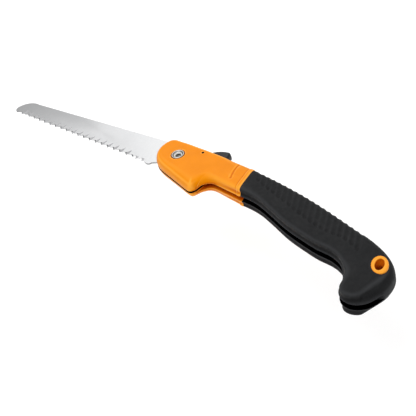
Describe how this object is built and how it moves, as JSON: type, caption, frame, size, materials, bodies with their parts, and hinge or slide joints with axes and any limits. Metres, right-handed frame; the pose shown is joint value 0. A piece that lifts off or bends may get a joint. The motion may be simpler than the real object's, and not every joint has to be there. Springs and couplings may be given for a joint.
{
  "type": "folding pruning saw",
  "caption": "Folding pruning saw with a toothed steel blade, a lockback button on the spine, a hooked soft-grip handle and an oval hang hole.",
  "frame": {"origin": "centre of the hang hole on the saw's middle plane", "axes": "+X from the blade pivot to the hang hole, +Y from the teeth towards the spine, +Z across the thickness, out of the face that shows the pivot bolt's head"},
  "size_m": [0.4213, 0.0698, 0.0212],
  "materials": {
    "orange_plastic": "semi-gloss moulded orange nylon",
    "soft_grip": "matt soft-touch overmould",
    "blade_steel": "cross-ground satin",
    "bright_steel": "polished nickel plate",
    "bush_brass": "turned",
    "washer_nylon": "natural nylon",
    "lever_steel": "tumbled",
    "black_plastic": "fine textured",
    "dark_steel": "black oxide",
    "spring_steel": "drawn wire"
  },
  "bodies": {
    "handle": {"near_shell": "orange_plastic", "far_shell": "orange_plastic", "near_grip": "soft_grip", "far_grip": "soft_grip", "pivot_bolt": "bright_steel", "pivot_nut": "bright_steel", "pivot_bush": "bush_brass", "near_washer": "washer_nylon", "far_washer": "washer_nylon", "stop_pin": "bright_steel", "lock_pin": "dark_steel", "lock_spring": "spring_steel", "near_hang_ring": "orange_plastic", "far_hang_ring": "orange_plastic", "case_screws": "dark_steel"},
    "blade": {"blade": "blade_steel"},
    "lock": {"lock_lever": "lever_steel", "lock_button": "black_plastic"}
  },
  "joints": [
    {"name": "blade_fold", "type": "hinge", "parent": "handle", "child": "blade", "pos_m": [-0.208, 0, 0], "axis": [0, 0, 1], "range_deg": [0, 166.3]},
    {"name": "lock_press", "type": "hinge", "parent": "handle", "child": "lock", "pos_m": [-0.1922, 0.0129, 0], "axis": [0, 0, 1], "range_deg": [0, 7], "deforming": ["lock_spring"]}
  ]
}
